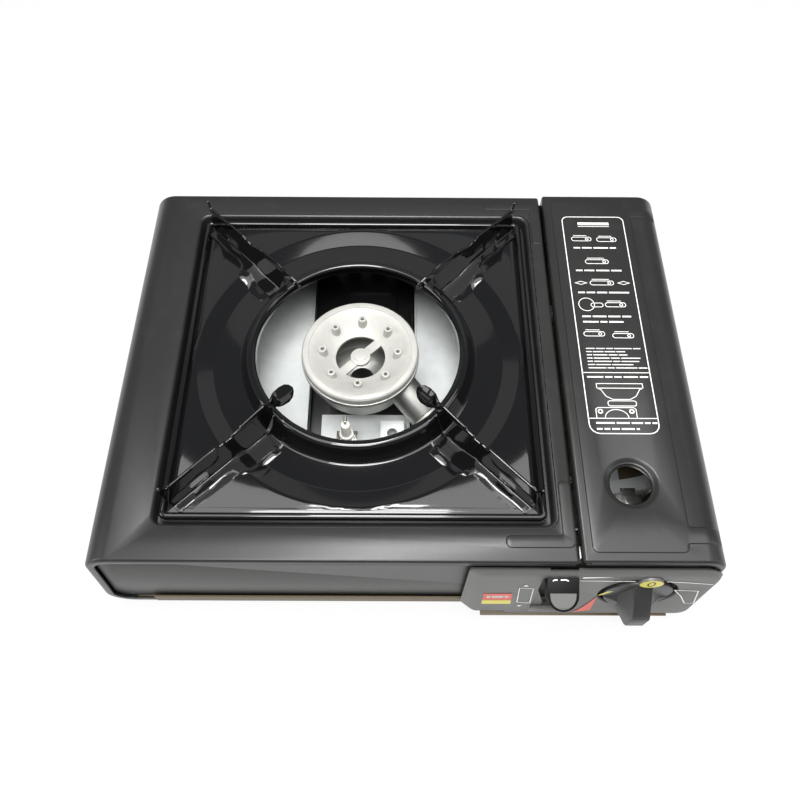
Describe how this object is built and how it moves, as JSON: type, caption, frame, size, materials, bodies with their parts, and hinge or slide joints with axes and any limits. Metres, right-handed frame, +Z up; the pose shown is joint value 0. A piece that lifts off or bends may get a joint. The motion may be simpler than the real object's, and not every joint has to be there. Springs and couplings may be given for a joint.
{
  "type": "butane cassette stove",
  "caption": "Low portable gas stove: a folded steel body with a lift-out drip pan and pan supports round a burner, and a hinged lid over the cartridge bay beside the knob and lock lever.",
  "frame": {"origin": "on the table, under the middle of the whole stove", "axes": "+X to the right, towards the cartridge bay; +Y to the back; +Z up"},
  "size_m": [0.333, 0.2606, 0.1045],
  "materials": {
    "satin_black_paint": "satin baked paint, near black, with a soft grey sheen",
    "panel_grey_paint": "satin dark grey paint",
    "base_paint": "olive brown satin paint",
    "black_enamel": "glossy black enamel",
    "black_heatproof_paint": "matt black heatproof paint",
    "galvanised_steel": "bright galvanised sheet",
    "bright_steel": "plated steel",
    "burner_aluminium": "bare aluminium, light grey",
    "cast_metal": "die-cast, light grey",
    "brass": "turned brass",
    "housing_plastic": "fine textured grey plastic with a metallic sheen",
    "knob_plastic": "smooth dark grey plastic",
    "igniter_plastic": "cream plastic",
    "ceramic": "white glazed ceramic",
    "lead_sleeve": "white silicone sleeve",
    "rubber": "matt black rubber"
  },
  "bodies": {
    "stove": {"base_pan": "base_paint", "rubber_feet": "rubber", "body_cover": "satin_black_paint", "front_panel": "panel_grey_paint", "rear_panel": "satin_black_paint", "side_panel": "satin_black_paint", "bay_partition": "galvanised_steel", "control_housing": "housing_plastic", "lid_catch": "bright_steel", "lid_hinge_pins": "bright_steel", "cartridge_cradle": "galvanised_steel", "burner_bridge": "black_heatproof_paint", "heat_shield_left": "galvanised_steel", "heat_shield_right": "galvanised_steel", "burner_plate": "bright_steel", "burner_body": "cast_metal", "burner_cap": "burner_aluminium", "mixing_tube": "burner_aluminium", "jet_nozzle": "brass", "gas_pipe": "bright_steel", "regulator_body": "cast_metal", "regulator_bonnet": "cast_metal", "regulator_screws": "bright_steel", "gas_seal": "rubber", "locating_plate": "bright_steel", "locating_screw": "brass", "piezo_housing": "igniter_plastic", "electrode_bracket": "bright_steel", "electrode_ceramic": "ceramic", "electrode_pin": "bright_steel", "electrode_nut": "bright_steel", "ignition_lead": "lead_sleeve"},
    "lid": {"cartridge_lid": "satin_black_paint"},
    "pan_and_supports": {"drip_pan": "black_enamel", "pan_arm_front_left": "black_enamel", "pan_arm_front_right": "black_enamel", "pan_arm_back_left": "black_enamel", "pan_arm_back_right": "black_enamel"},
    "knob_and_cam": {"knob": "knob_plastic", "knob_spindle": "bright_steel", "ignition_cam": "knob_plastic"},
    "lever": {"lock_lever": "knob_plastic"},
    "fork": {"lock_fork": "bright_steel"},
    "plunger": {"piezo_plunger": "bright_steel"}
  },
  "joints": [
    {"name": "lid_hinge", "type": "hinge", "parent": "stove", "child": "lid", "pos_m": [0.163, 0.0102, 0.0495], "axis": [0, 1, 0], "range_deg": [0, 100]},
    {"name": "pan_lift", "type": "slide", "parent": "stove", "child": "pan_and_supports", "axis": [0, 0, 1], "range_m": [0, 0.12]},
    {"name": "knob_turn", "type": "hinge", "parent": "stove", "child": "knob_and_cam", "pos_m": [0.12495, -0.1048, 0.0465], "axis": [0, -1, 0], "range_deg": [0, 100]},
    {"name": "lever_slide", "type": "slide", "parent": "stove", "child": "lever", "axis": [0, 0, -1], "range_m": [0, 0.012]},
    {"name": "fork_slide", "type": "slide", "parent": "stove", "child": "fork", "axis": [0, -1, 0], "range_m": [0, 0.006]},
    {"name": "plunger_slide", "type": "slide", "parent": "stove", "child": "plunger", "axis": [-1, 0, 0], "range_m": [0, 0.005]}
  ],
  "couplings": [
    {"joint": "fork_slide", "follows": "lever_slide", "ratio": 0.5},
    {"joint": "plunger_slide", "follows": "knob_turn", "m_per_rad": 0.0028648}
  ]
}
